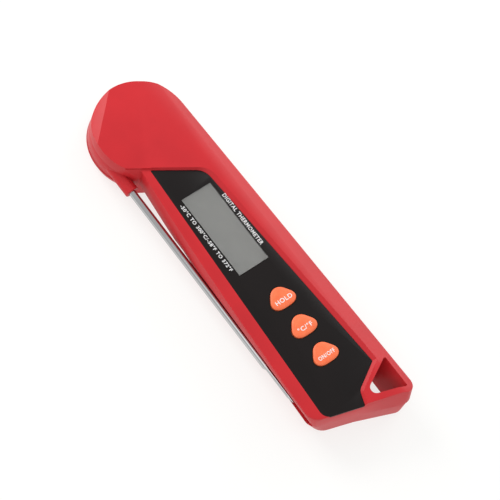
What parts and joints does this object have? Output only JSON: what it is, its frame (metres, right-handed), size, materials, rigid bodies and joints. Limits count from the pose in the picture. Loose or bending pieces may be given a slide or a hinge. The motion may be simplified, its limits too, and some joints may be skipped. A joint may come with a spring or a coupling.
{
  "type": "folding probe thermometer",
  "caption": "Folding digital food thermometer: a stainless probe on a round head folds into the side of a tapered case with a display and press buttons.",
  "frame": {"origin": "middle of the flat back face that the case lies on", "axes": "+Z out of the display face, +Y towards the round head, +X to the right seen from the display side"},
  "size_m": [0.0453, 0.1663, 0.018],
  "materials": {
    "red_plastic": "satin moulded",
    "black_panel": "gloss",
    "clear_window": "clear",
    "lcd_grey": "satin",
    "white_plastic": "matte",
    "button_orange": "satin silicone",
    "grey_rubber": "matte",
    "pink_elastomer": "matte",
    "stainless": "polished",
    "contact_steel": "satin",
    "board_green": "solder mask",
    "dark_epoxy": "matte",
    "cell_jacket": "satin",
    "wire_jacket": "matte"
  },
  "bodies": {
    "housing": {"front_shell": "red_plastic", "back_shell": "red_plastic", "faceplate": "black_panel", "display_window": "clear_window", "lcd_glass": "lcd_grey", "lcd_frame": "white_plastic", "contact_strips": "pink_elastomer", "circuit_board": "board_green", "controller_chip": "dark_epoxy", "board_parts": "dark_epoxy", "keypad_mat": "grey_rubber", "contact_domes": "contact_steel", "battery": "cell_jacket", "battery_plate": "contact_steel", "battery_spring": "contact_steel", "case_screws": "contact_steel", "pivot_pin": "contact_steel", "board_wires": "wire_jacket"},
    "probe": {"probe_hub": "red_plastic", "hub_cover": "red_plastic", "probe_tube": "stainless", "sensor_bead": "dark_epoxy", "sensor_wires": "wire_jacket", "friction_washers": "contact_steel"},
    "hold_button": {"button_hold": "button_orange"},
    "units_button": {"button_units": "button_orange"},
    "power_button": {"button_power": "button_orange"},
    "door": {"battery_door": "red_plastic"}
  },
  "joints": [
    {"name": "probe_swing", "type": "hinge", "parent": "housing", "child": "probe", "pos_m": [-0.0025, 0.0625, 0.0088], "axis": [0, 0, -1], "range_deg": [0, 180]},
    {"name": "hold_press", "type": "slide", "parent": "housing", "child": "hold_button", "axis": [0, 0, -1], "range_m": [0, 0.0004], "stiffness_N_per_m": 900},
    {"name": "units_press", "type": "slide", "parent": "housing", "child": "units_button", "axis": [0, 0, -1], "range_m": [0, 0.0004], "stiffness_N_per_m": 900},
    {"name": "power_press", "type": "slide", "parent": "housing", "child": "power_button", "axis": [0, 0, -1], "range_m": [0, 0.0004], "stiffness_N_per_m": 900},
    {"name": "door_lift", "type": "slide", "parent": "housing", "child": "door", "axis": [0, 0, -1], "range_m": [0, 0.012]}
  ]
}
